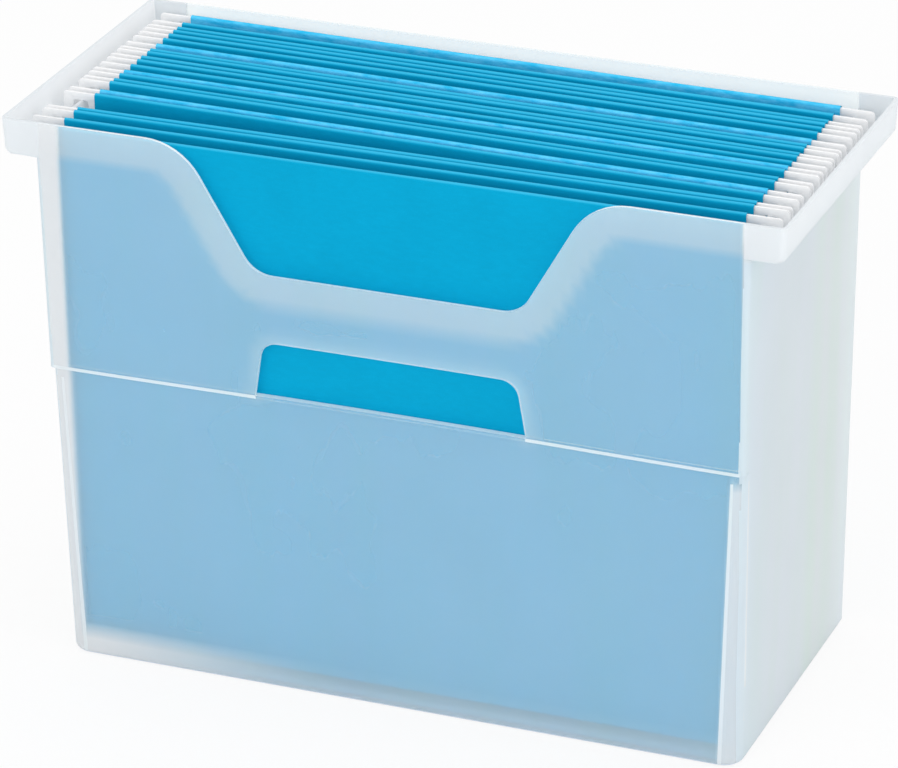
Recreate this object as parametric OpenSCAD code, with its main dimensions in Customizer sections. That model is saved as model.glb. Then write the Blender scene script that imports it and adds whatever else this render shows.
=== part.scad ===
// Portable file box: a frosted, open-topped tub with a hanging ledge along each
// end wall, and a row of card folders that hang in it from flat rods.
// X runs across the front, Y from front to back and Z up. The origin is on the
// ground, under the middle of the tub.

/* [Folders] */
// Width of a folder's card
sheet_w = 298.4; // [240:0.2:360]
// Height of a folder, from its top ridge to its bottom fold
folder_drop = 238; // [200:1:270]
// Thickness of the card
card_t = 0.6; // [0.4:0.1:0.8]
// Depth of the hem that holds a rod
hem_h = 12; // [11:0.5:20]
// Width of the flat bottom fold
fold_w = 3; // [2:0.1:4]
// Distance from the front rim back to the middle of the first folder
first_at = 12; // [11:0.1:20]
// Distance from the back rim forward to the middle of the last folder
last_at = 13.4; // [11:0.1:20]
// Distance between the two rods of the folder that stands open widest
widest_gap = 10.4; // [8.4:0.2:11]
// How much further back the left end hangs than the right, on the folder most askew
widest_skew = 7.2; // [0:0.2:8]

/* [Hanging rods] */
// Thickness of a flat rod
rod_t = 1.2; // [0.8:0.1:1.4]
// Height of a rod inside its hem
bar_h = 8.4; // [6:0.2:9.6]
// Height of a rod above the rail that it rests on
rod_crown = 3.4; // [2.4:0.2:4]
// How far a hook reaches past the outside of the rail
hook_reach = 7.8; // [6:0.2:9]
// Width of a hook's tip
tip_w = 4.6; // [3:0.2:4.8]
// Radius at the bottom of a hook's tip
tip_r = 1.2; // [0.4:0.1:1.4]
// Radius at the outer top corner of a hook
hook_r = 1.6; // [1:0.2:3.4]
// Radius inside a hook's notch
notch_r = 1.2; // [0.4:0.1:1.4]

/* [Tub] */
// Outside depth at the rim, front to back
tub_d = 151; // [146:1:200]
// Wall thickness
wall_t = 1.6; // [1.4:0.1:2.2]
// Floor thickness
floor_t = 2.4; // [1.6:0.1:4]
// How far each end wall leans in, from rim to floor
end_draft = 3.6; // [1:0.2:6]
// How far the front wall leans in
front_draft = 3.8; // [1:0.2:4.4]
// How far the back wall leans in
back_draft = 1.2; // [0.4:0.2:4]
// Radius of the upright corners
corner_r = 3; // [2.6:0.1:5]
// Radius of the front upright corners, just below the step
low_corner_r = 6; // [4:0.2:10]
// Radius of the same corners at the floor
floor_corner_r = 9; // [6:0.2:12]
// Radius outside, between the walls and the floor
base_r = 2.8; // [1:0.1:3.8]
// Radius inside, between the walls and the floor
inside_r = 1; // [0.4:0.1:2]
// How far the front wall is set back below the step
step_in = 1.4; // [1:0.1:2.4]

/* [Hanging ledges] */
// How far a ledge stands out past the end wall, at the rim
lip_reach = 15; // [12:0.2:22]
// Height of a ledge, from its underside to the rim
lip_h = 15.4; // [13:0.2:24]
// How far the outer face of a ledge leans in
lip_draft = 0.9; // [0.3:0.1:2]
// Radius along the lower outer edge of a ledge
lip_r = 2.4; // [0.5:0.1:3]
// Thickness of a ledge under its channel
ledge_t = 2; // [1.4:0.1:3]
// Depth of the rails below the rim
rail_drop = 7; // [5:0.2:8]

/* [Thumb scoop] */
// Depth of the scoop below the rim
scoop_drop = 54; // [45:1:70]
// Width of the straight bottom edge of the scoop
scoop_w = 101; // [60:1:140]
// Slope of the sides of the scoop
scoop_angle = 60; // [50:1:75]
// Radius at the bottom corners of the scoop
scoop_bottom_r = 14; // [6:1:18]
// Radius where the scoop runs into the rim
scoop_top_r = 28; // [10:1:34]

/* [Handle slot] */
// Height of the handle band between the scoop and the slot
band_h = 31.2; // [20:0.2:40]
// Height of the slot
slot_h = 25; // [18:0.2:36]
// Width of the slot at its bottom
slot_w = 120.4; // [90:0.2:180]
// Lean of the ends of the slot
slot_lean = 9; // [0:1:20]
// Radius at the top corners of the slot
slot_r = 8; // [3:0.5:12]

/* [Clearances] */
// Space between a folder and each end wall, at the floor
side_clear = 2; // [0.8:0.1:4]
// Space between a folder's bottom fold and the floor
floor_gap = 4.6; // [3:0.2:12]
// Space on each side of a rod in its hem
rod_fit = 0.1; // [0.05:0.05:0.2]
// Space between a hook's notch and the inside of the rail
notch_clear = 2.2; // [1:0.1:2.5]
// Space between a hook's tip and the floor of its channel
hook_clear = 0.9; // [0.5:0.1:2]

/* [Hidden] */
// Place of each folder, in percent of the way from the first to the last
folder_place = [0, 12.8, 26.4, 37.6, 46.6, 55.8, 63.7, 71.2, 82.2, 89.8, 100];
// Gap between each folder's rods, in percent of the widest gap
folder_gap = [100, 33, 48, 38, 42, 60, 58, 58, 54, 37, 88];
// Skew of each folder, in percent of the widest skew
folder_skew = [-19, -22, 94, 100, 67, 86, 100, 94, 83, 89, 67];
folder_count = len(folder_place);

arc_steps = 8; // facets in a quarter of a round corner
least_r = 0.4; // smallest radius left on an inner corner
over = 1; // how far a cut runs past the face that it opens

tub_h = floor_t + floor_gap + folder_drop - card_t - rod_crown + rail_drop;
rail_z = tub_h - rail_drop;
ledge_z = tub_h - lip_h;
channel_z = ledge_z + ledge_t;
scoop_z = tub_h - scoop_drop;
slot_top_z = scoop_z - band_h;
web_z = slot_top_z - slot_h;
step_z = web_z - wall_t;
floor_half_w = sheet_w / 2 + side_clear + wall_t;

rod_top_z = rail_z + rod_crown;
bar_z = rod_top_z - bar_h;
tip_z = channel_z + hook_clear;
notch_in_x = half_w(rail_z) - wall_t - notch_clear;
tip_out_x = half_w(rail_z) + hook_reach;
notch_out_x = tip_out_x - tip_w;

ridge_z = rod_top_z + card_t;
fold_z = ridge_z - folder_drop;
hem_z = ridge_z - hem_h;
pocket_half = rod_t / 2 + rod_fit;
hem_half = pocket_half + card_t;
first_y = -tub_d / 2 + first_at;
last_y = tub_d / 2 - last_at;

function folder_name(k) = str("folder_", k < 10 ? "0" : "", k);
function sheet_name(k) = str(folder_name(k), "_sheet");
function rod_name(k, side) = str(folder_name(k), "_", side, "_rod");
function rod_gap(k) = widest_gap * folder_gap[k - 1] / 100;

// Outer faces of the tub at height z. Each wall leans in towards the floor.
function lean(draft, z) = draft * (1 - z / tub_h);
function half_w(z) = floor_half_w + end_draft - lean(end_draft, z);
function front_y(z) = -tub_d / 2 + lean(front_draft, z);
function back_y(z) = tub_d / 2 - lean(back_draft, z);
function half_lip(z) = half_w(tub_h) + lip_reach - lip_draft * (tub_h - z) / lip_h;

// Points along an arc about c, from angle a to angle b
function arc(c, r, a, b) = [
    for (i = [0:arc_steps])
        let (t = a + (b - a) * i / arc_steps)
        c + r * [cos(t), sin(t)]
];

// A whole outline from its right half, listed anticlockwise
function both_sides(right) = concat(
    right,
    [for (i = [len(right) - 1:-1:0]) [-right[i][0], right[i][1]]]
);

// Outline at height z of a box with round corners, anticlockwise from above.
// x and y are its two sides, and r the radii of its front and back corners.
function ring(x, y, r, z) =
    let (
        front_r = max(r[0], least_r),
        back_r = max(r[1], least_r),
        corners = concat(
            arc([x[1] - back_r, y[1] - back_r], back_r, 0, 90),
            arc([x[0] + back_r, y[1] - back_r], back_r, 90, 180),
            arc([x[0] + front_r, y[0] + front_r], front_r, 180, 270),
            arc([x[1] - front_r, y[0] + front_r], front_r, 270, 360)
        )
    )
    [for (p = corners) [p[0], p[1], z]];

// Solid through a stack of outlines, listed from the lowest up
module loft(rings) {
    n = len(rings[0]);
    last = len(rings) - 1;
    sides = [
        for (i = [0:last - 1], j = [0:n - 1])
            let (k = (j + 1) % n)
            [i * n + j, (i + 1) * n + j, (i + 1) * n + k, i * n + k]
    ];
    bottom = [for (j = [0:n - 1]) j];
    top = [for (j = [n - 1:-1:0]) last * n + j];
    polyhedron(points = [for (r = rings, p = r) p], faces = concat([bottom, top], sides));
}

// Outline of the tub at height z, drawn in by inset, above or below the step
function upper_ring(z, inset) = ring(
    [-half_w(z) + inset, half_w(z) - inset],
    [front_y(z) + inset, back_y(z) - inset],
    [corner_r - inset, corner_r - inset],
    z
);
function lower_ring(z, inset) = ring(
    [-half_w(z) + inset, half_w(z) - inset],
    [front_y(z) + step_in + inset, back_y(z) - inset],
    [floor_corner_r + (low_corner_r - floor_corner_r) * z / step_z - inset, corner_r - inset],
    z
);

// The rounded turn from a flat bottom at height z up into the walls
function base_rings(z, r, inset) = [
    for (i = [0:arc_steps])
        let (t = 90 * i / arc_steps)
        lower_ring(z + r * (1 - cos(t)), inset + r * (1 - sin(t)))
];

// Outline of the two ledges and the rim between them
function ledge_ring(z, inset) = ring(
    [-half_lip(z) + inset, half_lip(z) - inset],
    [front_y(z), back_y(z)],
    [corner_r, corner_r],
    z
);
function ledge_rings() = [
    for (i = [0:arc_steps])
        let (t = 90 * i / arc_steps)
        ledge_ring(ledge_z + lip_r * (1 - cos(t)), lip_r * (1 - sin(t)))
];

// Outline of what is open at height z between the front and the back wall
function open_ring(x, z) = ring(
    x,
    [front_y(z) + wall_t, back_y(z) - wall_t],
    [corner_r - wall_t, corner_r - wall_t],
    z
);

module tub_body() {
    loft(concat(base_rings(0, base_r, 0), [lower_ring(step_z, 0)]));
    loft([upper_ring(step_z, 0), upper_ring(ledge_z, 0)]);
    loft(concat(ledge_rings(), [ledge_ring(tub_h, 0)]));
}

module tub_cavity() {
    loft(concat(base_rings(floor_t, inside_r, wall_t), [lower_ring(web_z, wall_t)]));
    loft([upper_ring(web_z, wall_t), upper_ring(rail_z, wall_t)]);
    rim_z = tub_h + over;
    reach = [half_lip(rail_z) - wall_t, half_lip(rim_z) - wall_t];
    loft([
        open_ring([-reach[0], reach[0]], rail_z),
        open_ring([-reach[1], reach[1]], rim_z)
    ]);
}

// The channel beside the rail at the right end, where the hooks hang
module channel() {
    loft([
        for (z = [channel_z, rail_z])
            open_ring([half_w(z), half_lip(z) - wall_t], z)
    ]);
}

// A cut through the front wall, outlined as seen from the front
module front_cut(outline) {
    depth = front_draft + step_in + 2 * wall_t + over;
    translate([0, depth - tub_d / 2, 0])
    rotate([90, 0, 0])
    linear_extrude(depth + over)
    polygon(outline);
}

// Right half of the thumb scoop: bottom corner, sloping side and shoulder
function scoop_outline() =
    let (
        a = scoop_angle,
        low = [scoop_w / 2, scoop_z + scoop_bottom_r],
        side = low + scoop_bottom_r * [sin(a), -cos(a)],
        shoulder_z = tub_h - scoop_top_r * (1 - cos(a)),
        shoulder_x = side[0] + (shoulder_z - side[1]) / tan(a),
        high = [shoulder_x + scoop_top_r * sin(a), tub_h - scoop_top_r]
    )
    both_sides(concat(
        arc(low, scoop_bottom_r, -90, a - 90),
        arc(high, scoop_top_r, 90 + a, 90),
        [[high[0], tub_h + over]]
    ));

// Right half of the handle slot: upright end and round top corner
function slot_outline() =
    let (
        rise = slot_h - slot_r,
        end_x = slot_w / 2 - rise * tan(slot_lean) - slot_r / cos(slot_lean)
    )
    both_sides(concat(
        [[slot_w / 2, web_z]],
        arc([end_x, slot_top_z - slot_r], slot_r, slot_lean, 90)
    ));

module tub() {
    color([0.84, 0.9, 0.93])
    difference() {
        tub_body();
        tub_cavity();
        channel();
        mirror([1, 0, 0]) channel();
        front_cut(scoop_outline());
        front_cut(slot_outline());
    }
}

// Puts what is drawn about the origin where folder k hangs
module at_folder(k) {
    share = folder_place[k - 1] / 100;
    skew = widest_skew * folder_skew[k - 1] / 100;
    translate([0, first_y + share * (last_y - first_y), 0])
    rotate([0, 0, -asin(skew / sheet_w)])
    children();
}

// A folder's card seen from its end: right half from the bottom fold up the
// panel, over the hem and down inside
function sheet_outline(gap) =
    let (
        outer = gap / 2 + hem_half,
        inner = gap / 2 - hem_half
    )
    both_sides(concat(
        [[fold_w / 2, fold_z], [outer, hem_z]],
        arc([gap / 2, ridge_z - hem_half], hem_half, 0, 180),
        [
            [inner, bar_z - rod_fit],
            [outer - 2 * card_t, hem_z],
            [outer - card_t, hem_z],
            [fold_w / 2 - card_t, fold_z + card_t]
        ]
    ));

module folder_sheet(k) {
    color([0, 0.58, 0.78])
    at_folder(k)
    rotate([90, 0, 90])
    linear_extrude(sheet_w, center = true)
    difference() {
        polygon(sheet_outline(rod_gap(k)));
        for (side = [-1, 1])
            translate([side * rod_gap(k) / 2 - pocket_half, bar_z - rod_fit])
            square([2 * pocket_half, bar_h + rod_fit]);
    }
}

// Right half of a rod seen from the front: the notch that sits on the rail,
// the tip that hangs in the channel and the outer top corner
function rod_outline() = both_sides(concat(
    [[notch_in_x, bar_z]],
    arc([notch_in_x + notch_r, rail_z - notch_r], notch_r, 180, 90),
    arc([notch_out_x - notch_r, rail_z - notch_r], notch_r, 90, 0),
    arc([notch_out_x + tip_r, tip_z + tip_r], tip_r, 180, 270),
    arc([tip_out_x - tip_r, tip_z + tip_r], tip_r, 270, 360),
    arc([tip_out_x - hook_r, rod_top_z - hook_r], hook_r, 0, 90)
));

// side is -1 for a folder's front rod and 1 for its back rod
module folder_rod(k, side) {
    color([0.93, 0.93, 0.94])
    at_folder(k)
    translate([0, side * rod_gap(k) / 2, 0])
    rotate([90, 0, 0])
    linear_extrude(rod_t, center = true)
    polygon(rod_outline());
}

tub();
for (k = [1:folder_count]) {
    folder_sheet(k);
    folder_rod(k, -1);
    folder_rod(k, 1);
}
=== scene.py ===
"""Portable file box: a frosted tub with eleven card folders hanging in it from flat coated rods."""

import math

import bmesh
import bpy
from mathutils import Matrix, Vector, noise


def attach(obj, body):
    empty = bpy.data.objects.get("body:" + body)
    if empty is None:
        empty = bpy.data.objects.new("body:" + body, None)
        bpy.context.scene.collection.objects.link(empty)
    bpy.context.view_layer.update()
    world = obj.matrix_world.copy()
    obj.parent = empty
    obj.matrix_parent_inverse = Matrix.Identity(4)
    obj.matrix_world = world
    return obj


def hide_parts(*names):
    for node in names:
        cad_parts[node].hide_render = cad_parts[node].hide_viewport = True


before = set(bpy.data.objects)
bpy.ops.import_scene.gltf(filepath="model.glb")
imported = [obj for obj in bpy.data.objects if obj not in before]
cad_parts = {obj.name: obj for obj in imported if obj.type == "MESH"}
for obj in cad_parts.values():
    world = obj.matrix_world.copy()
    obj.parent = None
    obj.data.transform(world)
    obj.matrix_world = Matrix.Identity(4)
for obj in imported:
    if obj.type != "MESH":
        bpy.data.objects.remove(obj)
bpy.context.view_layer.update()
MM = 0.001

# ---------------------------------------------------------------- sizes, mm
SHEET_W, DROP, CARD = 298.4, 238.0, 0.6
HEM_H, FOLD_W = 12.0, 3.0
ROD_T, BAR_H, CROWN = 1.2, 8.4, 3.4
HOOK_REACH, TIP_W, TIP_R, HOOK_R, NOTCH_R = 7.8, 4.6, 1.2, 1.6, 1.2
TUB_D, WALL, FLOOR, STEP_IN = 151.0, 1.6, 2.4, 1.4
CORNER_LOW, CORNER_FLOOR = 6.0, 9.0
END_DRAFT, FRONT_DRAFT = 3.6, 3.8
LIP_H, LEDGE_T, RAIL_DROP = 15.4, 2.0, 7.0
SCOOP_DROP, SCOOP_W, SCOOP_A, SCOOP_R, SHOULDER_R = 54.0, 101.0, 60.0, 14.0, 28.0
BAND_H, SLOT_H, SLOT_W, SLOT_LEAN, SLOT_R = 31.2, 25.0, 120.4, 9.0, 8.0
SIDE_CLEAR, FLOOR_GAP, ROD_FIT, NOTCH_CLEAR, HOOK_CLEAR = 2.0, 4.6, 0.1, 2.2, 0.9
FIRST_AT, LAST_AT = 12.0, 13.4
PLACE = [0, 12.8, 26.4, 37.6, 46.6, 55.8, 63.7, 71.2, 82.2, 89.8, 100]
WIDEST_GAP, WIDEST_SKEW = 10.4, 7.2
GAP = [WIDEST_GAP * p / 100 for p in (100, 33, 48, 38, 42, 60, 58, 58, 54, 37, 88)]
SKEW = [WIDEST_SKEW * p / 100 for p in (-19, -22, 94, 100, 67, 86, 100, 94, 83, 89, 67)]

H = FLOOR + FLOOR_GAP + DROP - CARD - CROWN + RAIL_DROP
RAIL_Z = H - RAIL_DROP
LEDGE_Z = H - LIP_H
CHANNEL_Z = LEDGE_Z + LEDGE_T
SCOOP_Z = H - SCOOP_DROP
SLOT_TOP = SCOOP_Z - BAND_H
WEB_Z = SLOT_TOP - SLOT_H
STEP_Z = WEB_Z - WALL
HALF_FLOOR = SHEET_W / 2 + SIDE_CLEAR + WALL
ROD_TOP = RAIL_Z + CROWN
BAR_Z = ROD_TOP - BAR_H
TIP_Z = CHANNEL_Z + HOOK_CLEAR
RIDGE_Z = ROD_TOP + CARD
FOLD_Z = RIDGE_Z - DROP
HEM_Z = RIDGE_Z - HEM_H
POCKET = ROD_T / 2 + ROD_FIT
HEM_R = POCKET + CARD
FIRST_Y = -TUB_D / 2 + FIRST_AT
LAST_Y = TUB_D / 2 - LAST_AT
BOW = 2.0  # how far the middle of the front wall bows inward
SLIDE = 2.0  # how far the first folder's front rod has slid to the right along its rail
GRID = 4  # spacing of the cuts that let the front wall bow
FRONT_ZONE = 12  # how far behind the rim's front edge the front wall and its roundings reach
EDGE_ROUND, ROD_ROUND, CREASE_R = 0.3, 0.22, 0.9
LENGTH_STEPS, CREASE_STEPS, SIDE_STEPS = 96, 3, 9  # facets along a sheet, round its fold and up its side
PAINTED_LIGHT_INSIDE = (3, 5, 8, 11)  # folders whose open hems get painted light on their inside
PAINTED_LIGHT_H = 6.5  # how far down from the ridge that painted light reaches


def half_w(z):
    """Half the tub's outside width at a height."""
    return HALF_FLOOR + END_DRAFT - END_DRAFT * (1 - z / H)


def front_y(z):
    """Place of the front wall's outer face at a height, above the step."""
    return -TUB_D / 2 + FRONT_DRAFT * (1 - z / H)


def corner_r(z):
    """Radius of the front upright corners at a height, below the step."""
    return CORNER_FLOOR + (CORNER_LOW - CORNER_FLOOR) * z / STEP_Z


def smooth(a, b, x):
    """0 up to a, 1 from b on, and a soft step between them."""
    t = min(max((x - a) / (b - a), 0.0), 1.0)
    return t * t * (3 - 2 * t)


def arc(cx, cz, r, a, b, n):
    """Points of an arc of n facets round a centre, from a to b degrees."""
    return [(cx + r * math.cos(math.radians(a + (b - a) * i / n)),
             cz + r * math.sin(math.radians(a + (b - a) * i / n))) for i in range(n + 1)]


# ---------------------------------------------------------------- nodes
def material(name):
    mat = bpy.data.materials.new(name)
    mat.use_nodes = True
    nt = mat.node_tree
    nt.nodes.clear()
    return mat, nt


def add(nt, kind, **settings):
    n = nt.nodes.new(kind)
    for key, value in settings.items():
        setattr(n, key, value)
    return n


def link(nt, a, b):
    nt.links.new(a, b)


def put(nt, value, socket):
    """Links a socket to an input, or sets the input to a number or a colour."""
    if isinstance(value, bpy.types.NodeSocket):
        link(nt, value, socket)
    elif isinstance(value, tuple):
        socket.default_value = (*value, 1)
    else:
        socket.default_value = value


def object_coords(nt):
    return add(nt, "ShaderNodeTexCoord").outputs["Object"]


def attribute(nt, name):
    return add(nt, "ShaderNodeAttribute", attribute_name=name).outputs["Fac"]


def along_axis(nt, coords, axis):
    n = add(nt, "ShaderNodeSeparateXYZ")
    link(nt, coords, n.inputs[0])
    return n.outputs[axis]


def noise_of(nt, coords, scale, detail=3.0, stretch=(1.0, 1.0, 1.0), rough=0.55):
    """Noise in object space. Along each axis, a stretch below 1 draws it out."""
    m = add(nt, "ShaderNodeMapping")
    link(nt, coords, m.inputs["Vector"])
    m.inputs["Scale"].default_value = stretch
    n = add(nt, "ShaderNodeTexNoise")
    n.inputs["Scale"].default_value = scale
    n.inputs["Detail"].default_value = detail
    n.inputs["Roughness"].default_value = rough
    link(nt, m.outputs["Vector"], n.inputs["Vector"])
    return n.outputs["Fac"]


def ramp(nt, value, stops):
    """A colour for each value, from (place, colour) stops."""
    r = add(nt, "ShaderNodeValToRGB")
    marks = r.color_ramp.elements
    marks[0].position, marks[1].position = stops[0][0], stops[-1][0]
    for place, colour in stops[1:-1]:
        marks.new(place)
    for mark, (place, colour) in zip(marks, stops):
        mark.color = (*colour, 1)
    link(nt, value, r.inputs["Fac"])
    return r.outputs["Color"]


def between(nt, value, start, end, low=0.0, high=1.0, kind="LINEAR"):
    """low up to start, high from end on."""
    m = add(nt, "ShaderNodeMapRange", interpolation_type=kind)
    limits = {"Value": value, "From Min": start, "From Max": end, "To Min": low, "To Max": high}
    for name, limit in limits.items():
        put(nt, limit, m.inputs[name])
    return m.outputs["Result"]


def mix(nt, factor, a, b, blend="MIX", data="RGBA"):
    """a where the factor is 0 and b where it is 1, or with MULTIPLY their product there."""
    m = add(nt, "ShaderNodeMix", data_type=data, blend_type=blend)
    for name, value in (("Factor", factor), ("A", a), ("B", b)):
        put(nt, value, m.inputs[name])
    return m.outputs["Result"]


def mix_shaders(nt, factor, a, b):
    m = add(nt, "ShaderNodeMixShader")
    put(nt, factor, m.inputs["Fac"])
    link(nt, a, m.inputs[1])
    link(nt, b, m.inputs[2])
    return m.outputs[0]


def bump_of(nt, height, strength, depth):
    b = add(nt, "ShaderNodeBump")
    b.inputs["Strength"].default_value = strength
    b.inputs["Distance"].default_value = depth
    link(nt, height, b.inputs["Height"])
    return b.outputs["Normal"]


def surface(nt, shader):
    link(nt, shader, add(nt, "ShaderNodeOutputMaterial").inputs["Surface"])


def principled(nt, **sockets):
    """A principled shader, its sockets named with _ for each space."""
    shader = add(nt, "ShaderNodeBsdfPrincipled")
    for name, value in sockets.items():
        put(nt, value, shader.inputs[name.replace("_", " ")])
    return shader.outputs[0]


def grey(v):
    return (v, v, v)


# ---------------------------------------------------------------- materials
CARD_TONES = [(0.3, (0.0, 0.335, 0.57)), (0.52, (0.0, 0.355, 0.61)), (0.75, (0.003, 0.385, 0.645))]
# the paler tone painted as a highlight on each ridge
CARD_RIDGE_HIGHLIGHT = (0.06, 0.56, 0.84)
# the lighter tones painted on the insides of open hems, as painted light
CARD_INSIDE_PAINTED_LIGHT = [(0.35, (0.02, 0.50, 0.84)), (0.65, (0.13, 0.66, 1.0))]
ROD_TONES = [(0.3, (0.86, 0.865, 0.875)), (0.6, (0.89, 0.89, 0.895))]
PLAIN = [(0, (1, 1, 1)), (1, (1, 1, 1))]
# the folders' ends show through the end walls as faint upright streaks, from front to back
STREAKS = [(0.0, (0.89, 0.96, 1.0)), (0.3, (0.925, 0.955, 0.985)), (0.55, (0.935, 0.965, 0.985)),
           (0.64, (0.925, 0.985, 0.95)), (0.70, (0.955, 0.975, 0.975)), (0.78, (0.925, 0.985, 0.94)),
           (0.86, (0.96, 0.98, 0.98)), (1.0, (0.99, 1.0, 1.0))]
GREENISH = [(0.42, grey(1.0)), (0.72, (0.975, 1.0, 0.97))]
# milky tones: partly denser frosting, partly painted light
MILK_AND_LIGHT_TONES = [(0.3, (0.82, 0.845, 0.865)), (0.7, (0.85, 0.87, 0.885))]
MILK_AND_LIGHT_SHARE = 0.74  # how much a milky, painted-light face hides
CLOUDING = 0.04  # how much that share varies from place to place


def card_material():
    """Blue card with short fibres, a highlight painted paler on the fold over each rod."""
    mat, nt = material("card_blue")
    coords = object_coords(nt)
    fibre = noise_of(nt, coords, 900, 4, (0.25, 1.0, 1.0), 0.6)
    speck = noise_of(nt, coords, 2600, 2)
    grain = mix(nt, 0.45, fibre, speck, data="FLOAT")
    clouds = ramp(nt, noise_of(nt, coords, 26, 3), [(0.35, grey(0.95)), (0.65, grey(1.0))])
    tone = mix(nt, 1.0, ramp(nt, grain, CARD_TONES), clouds, "MULTIPLY")
    # painted highlight: just under the ridge the card is painted paler, where the overhead light catches each
    # fold
    height = along_axis(nt, coords, "Z")
    ridge_highlight = between(nt, height, (RIDGE_Z - 0.8) * MM, (RIDGE_Z - 0.1) * MM, 0.0, 0.6, "SMOOTHSTEP")
    tone = mix(nt, ridge_highlight, tone, CARD_RIDGE_HIGHLIGHT)
    # painted light: the inside of a hem that stands open is painted lighter near the ridge, with coarse fibres
    coarse = noise_of(nt, coords, 420, 4, (0.3, 1.0, 1.0), 0.7)
    tone = mix(nt, attribute(nt, "painted_light_band"), tone, ramp(nt, coarse, CARD_INSIDE_PAINTED_LIGHT))
    surface(nt, principled(nt, Base_Color=tone, Specular_IOR_Level=0.05,
                           Roughness=ramp(nt, fibre, [(0.3, grey(0.62)), (0.7, grey(0.76))]),
                           Normal=bump_of(nt, grain, 0.14, 0.00008)))
    return mat


def rod_material():
    """White-coated metal, a little worn, with a faint painted glow that lightens its shaded sides."""
    mat, nt = material("rod_white")
    coords = object_coords(nt)
    wear = noise_of(nt, coords, 300, 4)
    # the faint white emission is a painted glow, no lamp: it lightens the rods' shaded sides
    surface(nt, principled(nt, Base_Color=ramp(nt, wear, ROD_TONES),
                           Roughness=ramp(nt, wear, [(0.3, grey(0.42)), (0.7, grey(0.30))]),
                           Emission_Color=(0.95, 0.97, 1.0), Emission_Strength=0.04,
                           Normal=bump_of(nt, noise_of(nt, coords, 1200, 3), 0.15, 0.00005)))
    return mat


def tub_material(name, clear, clear_near, tones, near_tone, rough=0.45, glow=0.1, along=PLAIN,
                 milky_and_lit=False, painted_glow=0.0):
    """Frosted plastic. clear is the share seen straight through one face, and clear_near the same beside
    an open edge, where the near attribute is 1. A milky_and_lit one is denser and paler where the
    pale_and_painted_light attribute is 1, past the folders' ends, on the low corners and along the floor:
    partly denser frosting, partly painted light. tones are its cloudy and its usual tone, near_tone the one
    beside an open edge, glow the share that lets light through, painted_glow a faint painted glow that
    lightens faces in shade, and along a tint from front to back below the ledges."""
    mat, nt = material(name)
    coords = object_coords(nt)
    near = attribute(nt, "near")
    cloud = noise_of(nt, coords, 9, 3)
    streak = noise_of(nt, coords, 60, 3, (1.0, 1.0, 0.12))
    grain = noise_of(nt, coords, 1800, 2)
    from_front = between(nt, along_axis(nt, coords, "Y"), -TUB_D / 2 * MM, TUB_D / 2 * MM)
    above = between(nt, along_axis(nt, coords, "Z"), (LEDGE_Z - 3) * MM, (LEDGE_Z + 1) * MM)
    low_tint = mix(nt, 1.0, ramp(nt, from_front, along), ramp(nt, streak, GREENISH), "MULTIPLY")
    tint = mix(nt, above, low_tint, ramp(nt, streak, [(0.3, grey(0.98)), (0.7, grey(1.0))]))
    tone = mix(nt, near, ramp(nt, cloud, [(0.3, tones[0]), (0.7, tones[1])]), near_tone)
    skin = mix(nt, 1.0, tone, tint, "MULTIPLY")
    hidden = add(nt, "ShaderNodeMath", operation="MULTIPLY_ADD")
    link(nt, cloud, hidden.inputs[0])
    hidden.inputs[1].default_value = CLOUDING
    hides, hides_near = 1 - clear - CLOUDING / 2, 1 - clear_near - CLOUDING / 2
    link(nt, between(nt, near, 0.0, 1.0, hides, hides_near), hidden.inputs[2])
    share = hidden.outputs[0]
    if milky_and_lit:
        milk_and_light = attribute(nt, "pale_and_painted_light")
        # the milky part is painted paler and denser: partly frosting, partly painted light
        skin = mix(nt, milk_and_light, skin, ramp(nt, streak, MILK_AND_LIGHT_TONES))
        share = mix(nt, milk_and_light, share, MILK_AND_LIGHT_SHARE, data="FLOAT")
    frosting = ramp(nt, grain, [(0.3, grey(rough - 0.05)), (0.7, grey(rough + 0.05))])
    # painted_glow: a faint painted glow, no lamp, that lightens faces lying in shade
    body = principled(nt, Base_Color=skin, Roughness=frosting, Specular_IOR_Level=0.3,
                      Emission_Color=(0.97, 0.98, 1.0), Emission_Strength=painted_glow)
    soft = add(nt, "ShaderNodeBsdfTranslucent")
    link(nt, skin, soft.inputs["Color"])
    through = add(nt, "ShaderNodeBsdfTransparent")
    plastic = mix_shaders(nt, glow, body, soft.outputs[0])
    surface(nt, mix_shaders(nt, share, through.outputs[0], plastic))
    return mat


CARD_MAT = card_material()
ROD_MAT = rod_material()
ON_WALL, ON_END, ON_EDGE, ON_BASE, ON_INSIDE = range(5)
TUB_MATS = [
    tub_material("tub_frosted", 0.70, 0.70, [(0.583, 0.818, 0.955), (0.60, 0.832, 0.963)], (0.91, 0.99, 1.0),
                 milky_and_lit=True),
    tub_material("tub_end", 0.10, 0.10, [(0.835, 0.87, 0.895), (0.86, 0.895, 0.915)], (0.865, 0.90, 0.925),
                 glow=0.25, along=STREAKS),
    # the rim and cut edges: denser through the plastic's thickness, and painted pale as highlight lines
    tub_material("tub_edge_painted_highlight", 0.20, 0.12, [(0.92, 0.97, 0.99), (0.94, 0.98, 1.0)], (0.94, 0.98, 1.0),
                 rough=0.35, glow=0.2),
    tub_material("tub_base", 0.20, 0.20, [(0.77, 0.86, 0.98), (0.80, 0.88, 1.0)], (0.80, 0.88, 1.0)),
    # the end walls' inside faces: paler tones and a painted glow, painted light on faces that lie in shade
    tub_material("tub_end_inside_painted_light", 0.10, 0.10, [(0.92, 0.93, 0.935), (0.94, 0.945, 0.95)],
                 (0.95, 0.955, 0.96), glow=0.25, painted_glow=0.12),
]


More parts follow.
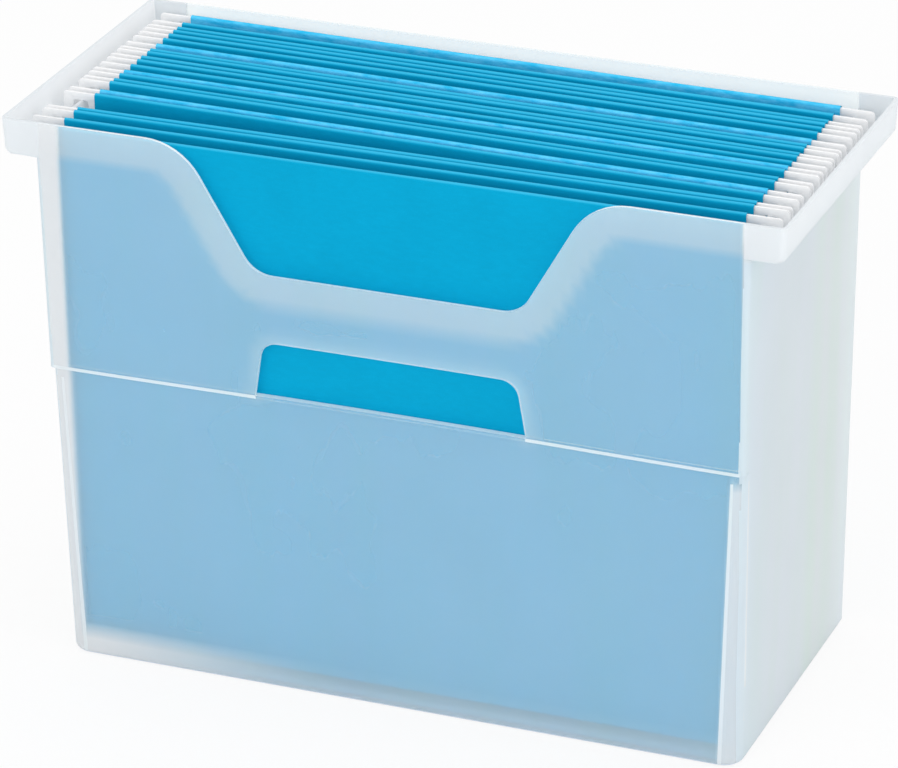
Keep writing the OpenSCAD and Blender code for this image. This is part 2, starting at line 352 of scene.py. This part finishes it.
# ---------------------------------------------------------------- pieces
def make(name, bm, mats, body, replaced, sharp):
    """The finished piece, which rides on a body and replaces CAD nodes. Its edges are sharp past an angle."""
    me = bpy.data.meshes.new(name)
    bm.normal_update()
    bm.to_mesh(me)
    bm.free()
    for m in mats:
        me.materials.append(m)
    for p in me.polygons:
        p.use_smooth = True
    me.set_sharp_from_angle(angle=math.radians(sharp))
    o = bpy.data.objects.new(name, me)
    bpy.context.scene.collection.objects.link(o)
    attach(o, body)
    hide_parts(*replaced)
    return o


def at_folder(k):
    """Place of folder k, 1 to 11, as a matrix in mm."""
    y = FIRST_Y + PLACE[k - 1] / 100 * (LAST_Y - FIRST_Y)
    turn = -math.asin(SKEW[k - 1] / SHEET_W)
    return Matrix.Translation((0, y, 0)) @ Matrix.Rotation(turn, 4, "Z")


def sheet_ring(gap):
    """Outline of a folder's card seen from its end, as (y, z). It goes up the outside, over a rod and down the
    inside, and then the same mirrored."""
    outer, inner = gap / 2 + HEM_R, gap / 2 - HEM_R
    foot_out, foot_in = FOLD_Z + CREASE_R, FOLD_Z + CARD
    right = [(FOLD_W / 2 - CREASE_R, FOLD_Z)]
    right += arc(FOLD_W / 2 - CREASE_R, foot_out, CREASE_R, -60, 0, CREASE_STEPS)
    for i in range(1, SIDE_STEPS):
        t = i / SIDE_STEPS
        right.append((FOLD_W / 2 + (outer - FOLD_W / 2) * t, foot_out + (HEM_Z - foot_out) * t))
    right += [(outer, HEM_Z), (outer + 0.02, HEM_Z + 4), (outer, RIDGE_Z - HEM_R)]
    right += arc(gap / 2, RIDGE_Z - HEM_R, HEM_R, 15, 165, 10)
    right += [(inner, RIDGE_Z - HEM_R), (inner, RIDGE_Z - 6), (inner, BAR_Z - ROD_FIT)]
    right += [(outer - 2 * CARD - 0.12, HEM_Z + 0.6), (outer - 2 * CARD, HEM_Z), (outer - CARD, HEM_Z)]
    for i in range(SIDE_STEPS - 1, 0, -1):
        t = i / SIDE_STEPS
        right.append((FOLD_W / 2 - CARD + (outer - FOLD_W / 2) * t, foot_in + (HEM_Z - foot_in) * t))
    right += [(FOLD_W / 2 - CARD, foot_in)]
    return right + [(-y, z) for y, z in reversed(right)]


def end_faces(half):
    """Faces across the card's thickness at a folder's end, as places in the first half of its ring. The
    pocket that the rod passes through stays open."""
    last = half - 1
    crease = CREASE_STEPS + 1
    faces = [(o, o + 1, last) for o in range(crease)]
    return faces + [(crease + i, crease + i + 1, last - i - 1, last - i) for i in range(SIDE_STEPS)]


def slid(k, y, z):
    """How far a point of folder k's card has moved sideways with its sliding front rod."""
    if k > 1:
        return 0.0
    t = (z - FOLD_Z) / (RIDGE_Z - FOLD_Z)
    return SLIDE * (0.5 + 0.5 * t if y < 0 else 0.5 - 0.5 * t)


def ripple(k, x, y, z):
    """How far a point of folder k's card stands off its flat shape, in y and in z."""
    back = 1 if y > 0 else 0
    high = smooth(HEM_Z - 60, RIDGE_Z, z)
    wave = 0.16 * noise.noise(Vector((x * 0.018, k * 7.3, 0.6 * back - 0.3))) * high
    lift = 0.22 * noise.noise(Vector((x * 0.012, k * 3.1 + 4.7 * back, 5.5))) * high
    belly = 0.35 * noise.noise(Vector((x * 0.01, z * 0.012, k * 2.9 + back)))
    belly *= smooth(FOLD_Z, FOLD_Z + 60, z) * (1 - smooth(HEM_Z - 40, HEM_Z, z))
    return wave + belly, lift


def sheet(k):
    """The card of folder k, as its ring drawn along its width."""
    gap = GAP[k - 1]
    ring = sheet_ring(gap)
    where = at_folder(k)
    bm = bmesh.new()
    band = bm.verts.layers.float.new("painted_light_band")
    rows = []
    for i in range(LENGTH_STEPS + 1):
        x = -SHEET_W / 2 + SHEET_W * i / LENGTH_STEPS
        row = []
        for y, z in ring:
            dy, dz = ripple(k, x, y, z)
            vert = bm.verts.new(where @ Vector((x + slid(k, y, z), y + dy, z + dz)) * MM)
            # painted light on the open hem's inside face, near the ridge
            if k in PAINTED_LIGHT_INSIDE and 0 < y < gap / 2 and z > RIDGE_Z - PAINTED_LIGHT_H:
                vert[band] = 1.0
            row.append(vert)
        rows.append(row)
    n = len(ring)
    for row, following in zip(rows, rows[1:]):
        for j in range(n):
            bm.faces.new((row[j], row[(j + 1) % n], following[(j + 1) % n], following[j]))
    for row in (rows[0], rows[-1]):
        for face in end_faces(n // 2):
            bm.faces.new([row[j] for j in face])
            bm.faces.new([row[n - 1 - j] for j in face])
        bm.faces.new((row[0], row[n // 2 - 1], row[n // 2], row[n - 1]))
    bmesh.ops.recalc_face_normals(bm, faces=bm.faces)
    body = "folder_%02d" % k
    make(body + "_card", bm, [CARD_MAT], body, [body + "_sheet"], 40)


def rod_outline():
    """Outline of a rod seen from the front, as (x, z), with a hook's notch and tip at each end."""
    notch_in = half_w(RAIL_Z) - WALL - NOTCH_CLEAR
    tip_out = half_w(RAIL_Z) + HOOK_REACH
    tip_in = tip_out - TIP_W
    right = [(notch_in, BAR_Z)]
    right += arc(notch_in + NOTCH_R, RAIL_Z - NOTCH_R, NOTCH_R, 180, 90, 5)
    right += arc(tip_in - NOTCH_R, RAIL_Z - NOTCH_R, NOTCH_R, 90, 0, 5)
    right += arc(tip_in + TIP_R, TIP_Z + TIP_R, TIP_R, 180, 270, 5)
    right += arc(tip_out - TIP_R, TIP_Z + TIP_R, TIP_R, 270, 360, 5)
    right += arc(tip_out - HOOK_R, ROD_TOP - HOOK_R, HOOK_R, 0, 90, 8)
    return right + [(-x, z) for x, z in reversed(right)]


def rod(k, side, name):
    """A rod of folder k, side -1 for the front one and 1 for the back one."""
    moved = SLIDE if k == 1 and side < 0 else 0
    where = at_folder(k) @ Matrix.Translation((moved, side * GAP[k - 1] / 2, 0))
    bm = bmesh.new()
    points = rod_outline()
    front = [bm.verts.new(where @ Vector((x, -ROD_T / 2, z)) * MM) for x, z in points]
    back = [bm.verts.new(where @ Vector((x, ROD_T / 2, z)) * MM) for x, z in points]
    bm.faces.new(front)
    bm.faces.new(list(reversed(back)))
    n = len(points)
    for i in range(n):
        bm.faces.new((front[i], back[i], back[(i + 1) % n], front[(i + 1) % n]))
    bmesh.ops.recalc_face_normals(bm, faces=bm.faces)
    edges = [e for e in bm.edges if any(len(f.verts) > 4 for f in e.link_faces)]
    bmesh.ops.bevel(bm, geom=edges, offset=ROD_ROUND * MM, segments=2, profile=0.5, affect="EDGES",
                    clamp_overlap=True)
    body = "folder_%02d" % k
    piece = "%s_%s" % (body, name)
    make(piece, bm, [ROD_MAT], body, [piece + "_rod"], 40)


def scoop_line():
    """Right half of the thumb scoop's outline and the rim, seen from the front."""
    a = math.radians(SCOOP_A)
    low = (SCOOP_W / 2, SCOOP_Z + SCOOP_R)
    side = (low[0] + SCOOP_R * math.sin(a), low[1] - SCOOP_R * math.cos(a))
    high_x = side[0] + (H - SHOULDER_R * (1 - math.cos(a)) - side[1]) / math.tan(a) + SHOULDER_R * math.sin(a)
    line = [(0, SCOOP_Z)] + arc(*low, SCOOP_R, -90, SCOOP_A - 90, 10)
    line += arc(high_x, H - SHOULDER_R, SHOULDER_R, 90 + SCOOP_A, 90, 10)
    return line + [(200, H)]


def slot_line():
    """Right half of the handle slot's outline, from its lower corner round to the middle of its top."""
    rise = SLOT_H - SLOT_R
    a = math.radians(SLOT_LEAN)
    end_x = SLOT_W / 2 - rise * math.tan(a) - SLOT_R / math.cos(a)
    return [(SLOT_W / 2, WEB_Z)] + arc(end_x, SLOT_TOP - SLOT_R, SLOT_R, SLOT_LEAN, 90, 10) + [(0, SLOT_TOP)]


def distance(x, z, line):
    """Distance from a point to the nearest stretch of a line."""
    best = math.inf
    for (ax, az), (bx, bz) in zip(line, line[1:]):
        dx, dz = bx - ax, bz - az
        t = min(max(((x - ax) * dx + (z - az) * dz) / (dx * dx + dz * dz), 0), 1)
        best = min(best, math.hypot(x - ax - t * dx, z - az - t * dz))
    return best


def bow(x, z):
    """How far the front wall bows inward between its stiff ends, floor and rim."""
    across = max(1 - (x / 150) ** 2, 0) ** 2
    return BOW * across * smooth(20, 130, z) * (1 - smooth(150, SCOOP_Z, z))


def cut_grid(bm):
    """Cuts all faces along a grid, every mm near the ends, so that the front wall can bow and fade."""
    across = list(range(-140, 141, GRID)) + list(range(-155, -142)) + list(range(143, 156))
    heights = list(range(GRID, int(H), GRID)) + [WEB_Z]
    for axis, places in ((0, across), (2, heights)):
        for place in places:
            at, normal = Vector((0, 0, 0)), Vector((0, 0, 0))
            at[axis], normal[axis] = place * MM, 1
            bmesh.ops.bisect_plane(bm, geom=bm.verts[:] + bm.edges[:] + bm.faces[:], dist=1e-7,
                                   plane_co=at, plane_no=normal)


def tub_slot(centre, normal):
    """Which of the tub's materials a face takes, from its centre in mm and its normal."""
    x, y, z = abs(centre.x), centre.y, centre.z
    end = half_w(z)
    slot = ON_WALL
    if z < FLOOR + 0.4 and abs(normal.z) > 0.5:
        slot = ON_BASE
    elif x > end - WALL - 0.6:
        slot = ON_INSIDE if normal.x * centre.x < -100 else ON_END
    if y >= -TUB_D / 2 + FRONT_ZONE:
        return slot
    # the two ends of a corner's rounding below the step take the edge material, painted as thin highlight
    # lines
    radius = corner_r(z)
    from_front = y - front_y(z) - STEP_IN
    if z < STEP_Z - 4.5 and x > end - radius:
        by_front = x < end - 0.8 * radius and from_front < 0.1 * radius
        if by_front or 0.8 * radius < from_front < radius:
            slot = ON_EDGE
    # the rim, the scoop's and slot's cut faces, the web's top and the step are painted as bright highlight
    # lines with the edge material
    if x < end - WALL - 0.4:
        on_rim = abs(z - H) < 0.5 and normal.z > 0.3
        on_cut = z > WEB_Z - 0.4 and x < 110 and abs(normal.y) < 0.93
        on_web = abs(z - WEB_Z) < 0.35 and normal.z > 0.5
        on_step = STEP_Z - 0.1 < z < WEB_Z + 0.1 and x > SLOT_W / 2 and y < front_y(z) + 0.4
        if on_rim or on_cut or on_web or on_step:
            slot = ON_EDGE
    return slot


def paleness_and_painted_light(x, z):
    """How milky and pale the front wall is painted: past the folders' ends, on the low corners and along the
    floor. Partly denser frosting, partly painted light: the low corners painted pale as they turn to the side
    lamp, and the shade under the folders painted lighter along the floor.
    """
    start = half_w(z) - corner_r(z)
    by_corner = smooth(start - 0.8, start + 0.8, abs(x)) * (1 - smooth(STEP_Z - 6, STEP_Z - 3, z))
    left = smooth(143.2, 147.2, -x) if z < STEP_Z else smooth(144.2, 146.6, -x)
    by_floor = (1 - smooth(8, 17, z)) * (1.0 - 0.92 * smooth(-150, -20, x))
    return max(left, smooth(152.6, 154.4, abs(x)), 0.85 * by_corner, by_floor)


def shape_front(bm):
    """Marks what lies near an open edge and what is painted milky and pale, partly as painted light, and bows
    the front wall.
    """
    near = bm.verts.layers.float.new("near")
    pale_and_painted_light = bm.verts.layers.float.new("pale_and_painted_light")
    scoop, slot = scoop_line(), slot_line()
    for v in bm.verts:
        x, y, z = v.co / MM
        if y > -TUB_D / 2 + FRONT_ZONE:
            v[near] = 1 - smooth(12, 15, H - z)
            continue
        by_rim = 1 - smooth(11.5, 16.5, distance(abs(x), z, scoop))
        by_slot = 0.55 * (1 - smooth(1.5, 7, distance(abs(x), z, slot)))
        v[near] = max(by_rim, by_slot)
        v[pale_and_painted_light] = paleness_and_painted_light(x, z)
        if abs(x) < 150:
            v.co.y += bow(x, z) * MM


def tub():
    """The tub's CAD mesh with rounded edges, its front wall a little bowed."""
    bm = bmesh.new()
    bm.from_mesh(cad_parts["tub"].data)
    bmesh.ops.remove_doubles(bm, verts=bm.verts, dist=1e-6)
    bmesh.ops.dissolve_limit(bm, angle_limit=math.radians(0.4), verts=bm.verts, edges=bm.edges)
    bm.normal_update()
    sharp = [e for e in bm.edges if len(e.link_faces) == 2 and e.calc_face_angle(0) > math.radians(40)]
    bmesh.ops.bevel(bm, geom=sharp, offset=EDGE_ROUND * MM, segments=2, profile=0.6, affect="EDGES",
                    clamp_overlap=False)
    cut_grid(bm)
    bmesh.ops.recalc_face_normals(bm, faces=bm.faces)
    bm.normal_update()
    for f in bm.faces:
        f.material_index = tub_slot(f.calc_center_median() / MM, f.normal)
    shape_front(bm)
    o = make("file_tub", bm, TUB_MATS, "tub", ["tub"], 30)
    m = o.modifiers.new("weighted", "WEIGHTED_NORMAL")
    m.keep_sharp = True
    m.weight = 50


tub()
for number in range(1, len(PLACE) + 1):
    sheet(number)
    rod(number, -1, "front")
    rod(number, 1, "back")


# ---------------------------------------------------------------- stage
PHOTO_W = 898  # width of the photograph in pixels


def floor_plane(half, below):
    """A pale floor that looks white to the camera and keeps the shadow."""
    bm = bmesh.new()
    corners = ((-1, -1), (1, -1), (1, 1), (-1, 1))
    bm.faces.new([bm.verts.new((x * half, y * half, -below)) for x, y in corners])
    me = bpy.data.meshes.new("floor")
    bm.to_mesh(me)
    bm.free()
    mat, nt = material("floor_pale")
    matt = add(nt, "ShaderNodeBsdfDiffuse")
    matt.inputs["Color"].default_value = (0.92, 0.92, 0.92, 1)
    white = add(nt, "ShaderNodeEmission")
    part = add(nt, "ShaderNodeMath", operation="MULTIPLY")
    part.inputs[1].default_value = 0.85
    link(nt, add(nt, "ShaderNodeLightPath").outputs["Is Camera Ray"], part.inputs[0])
    surface(nt, mix_shaders(nt, part.outputs[0], matt.outputs[0], white.outputs[0]))
    me.materials.append(mat)
    floor = bpy.data.objects.new("floor", me)
    bpy.context.scene.collection.objects.link(floor)


def studio_world(strength):
    """Even white light, pure white to the camera."""
    world = bpy.data.worlds.new("studio")
    bpy.context.scene.world = world
    world.use_nodes = True
    nt = world.node_tree
    nt.nodes.clear()
    light = add(nt, "ShaderNodeBackground")
    white = add(nt, "ShaderNodeBackground")
    for background, power in ((light, strength), (white, 1.0)):
        background.inputs["Color"].default_value = (1, 1, 1, 1)
        background.inputs["Strength"].default_value = power
    seen = add(nt, "ShaderNodeLightPath").outputs["Is Camera Ray"]
    both = mix_shaders(nt, seen, light.outputs[0], white.outputs[0])
    link(nt, both, add(nt, "ShaderNodeOutputWorld").inputs["Surface"])


def lamp(name, place, target, size, power):
    data = bpy.data.lights.new(name, "AREA")
    data.shape = "RECTANGLE"
    data.size, data.size_y = size
    data.energy = power
    o = bpy.data.objects.new(name, data)
    bpy.context.scene.collection.objects.link(o)
    o.location = place
    o.rotation_euler = (Vector(target) - Vector(place)).to_track_quat("-Z", "Y").to_euler()


def camera(place, yaw, pitch, roll, focal):
    """The photograph's view. place is in mm, the angles in degrees and focal in the photograph's pixels."""
    cam = bpy.data.objects.new("camera", bpy.data.cameras.new("camera"))
    bpy.context.scene.collection.objects.link(cam)
    cam.data.sensor_width = 36.0
    cam.data.lens = focal * cam.data.sensor_width / PHOTO_W
    cam.data.clip_end = 50
    yaw, pitch, roll = math.radians(yaw), math.radians(pitch), math.radians(roll)
    ahead = Vector((-math.sin(yaw) * math.cos(pitch), math.cos(yaw) * math.cos(pitch), -math.sin(pitch)))
    level = Vector((math.cos(yaw), math.sin(yaw), 0))
    up = level.cross(ahead)
    across = math.cos(roll) * level + math.sin(roll) * up
    upward = -math.sin(roll) * level + math.cos(roll) * up
    turn = Matrix((across, upward, -ahead)).transposed()
    cam.matrix_world = Matrix.Translation(Vector(place) * MM) @ turn.to_4x4()
    bpy.context.scene.camera = cam


floor_plane(6.0, 0.0002)
studio_world(0.82)
lamp("top_light", (0.0, 0.2, 1.6), (0, 0, 0.1), (1.6, 1.6), 4)
lamp("front_light", (-0.5, -2.3, 1.0), (0, 0, 0.12), (1.6, 1.2), 14)
lamp("right_light", (2.1, -0.4, 0.8), (0, 0, 0.12), (1.4, 1.2), 10)
camera((740.70, -1851.59, 1039.62), 21.862, 24.721, -0.619, 5156.2)
bpy.context.scene.view_settings.view_transform = "Standard"
